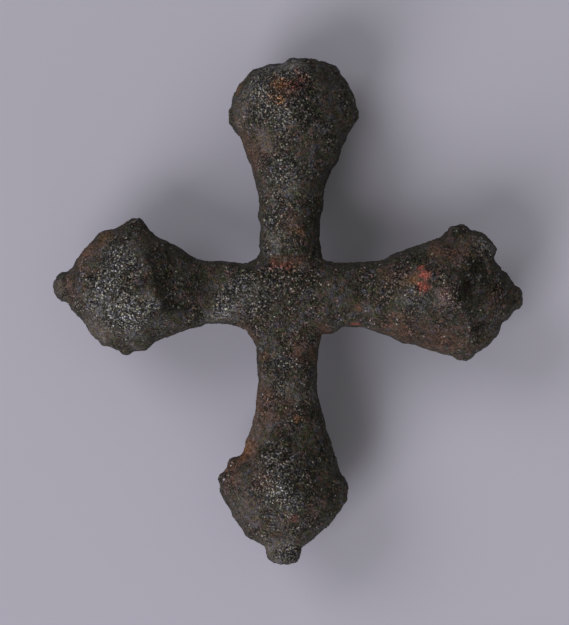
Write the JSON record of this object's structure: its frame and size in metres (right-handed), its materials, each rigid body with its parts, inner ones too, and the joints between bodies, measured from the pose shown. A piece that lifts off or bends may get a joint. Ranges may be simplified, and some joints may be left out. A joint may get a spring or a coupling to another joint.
{
  "type": "cross",
  "caption": "Small devotional cross of corroded iron bars halved into each other and brazed, each arm flaring into a faceted knob with nubs and an end pellet.",
  "frame": {"origin": "on the resting plane, below the centre of the outline; the bars cross 0.15 mm to the right of it and 1.75 mm above it", "axes": "+X along the crossbar to the right, +Y up the upright, +Z out of the front; the cross lies on its back"},
  "size_m": [0.0472, 0.051, 0.013],
  "materials": {
    "crossbar_iron": "heavily corroded, dark brown-grey granular crust with rust-red and ochre patches, matt with glinting grains",
    "upright_iron": "heavily corroded, dark brown-grey granular crust with rust-red patches, matt with glinting grains",
    "braze_filler": "rust-stained copper-alloy filler, rough and matt"
  },
  "bodies": {
    "root": {"crossbar": "crossbar_iron", "upright": "upright_iron", "braze": "braze_filler"}
  },
  "joints": []
}
